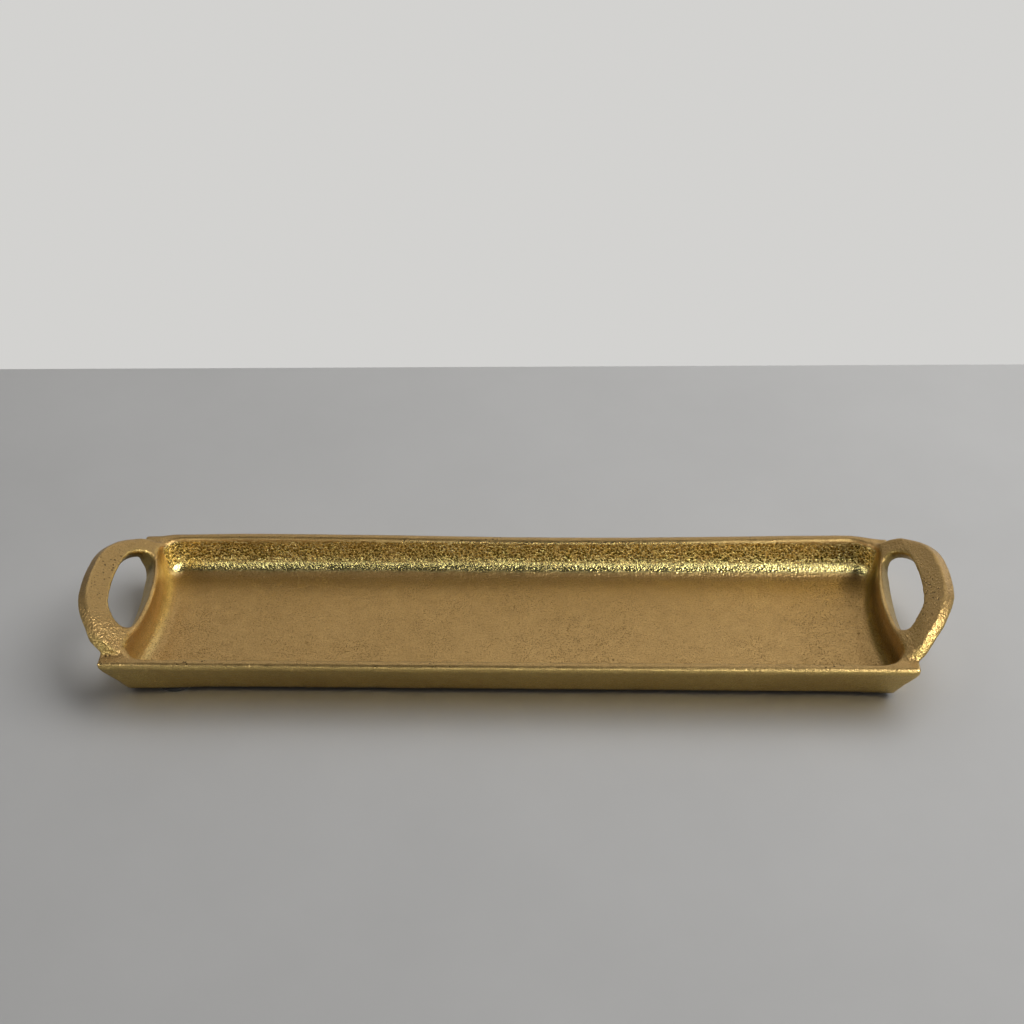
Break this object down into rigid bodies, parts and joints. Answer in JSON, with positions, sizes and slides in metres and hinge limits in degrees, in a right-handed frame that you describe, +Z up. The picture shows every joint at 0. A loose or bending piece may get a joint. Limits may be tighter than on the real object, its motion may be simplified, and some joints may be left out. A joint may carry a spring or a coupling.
{
  "type": "serving tray",
  "caption": "Long narrow cast brass tray with sloping sides, an upturned D-shaped ring handle at each end, and round rubber pads beneath.",
  "frame": {"origin": "on the surface that the pads stand on, at the middle of the tray's bounding box", "axes": "+X along the tray towards the right handle, +Y towards the back, +Z up out of the basin"},
  "size_m": [0.406, 0.0904, 0.0406],
  "materials": {
    "cast_brass": "raw sand-cast brass, satin, finely pitted",
    "black_rubber": "matt black",
    "clear_adhesive": "thin translucent acrylic adhesive"
  },
  "bodies": {
    "root": {"tray_pan": "cast_brass", "handle_left": "cast_brass", "handle_right": "cast_brass", "front_left_pad": "black_rubber", "front_left_pad_adhesive": "clear_adhesive", "front_right_pad": "black_rubber", "front_right_pad_adhesive": "clear_adhesive", "back_left_pad": "black_rubber", "back_left_pad_adhesive": "clear_adhesive", "back_right_pad": "black_rubber", "back_right_pad_adhesive": "clear_adhesive"}
  },
  "joints": []
}
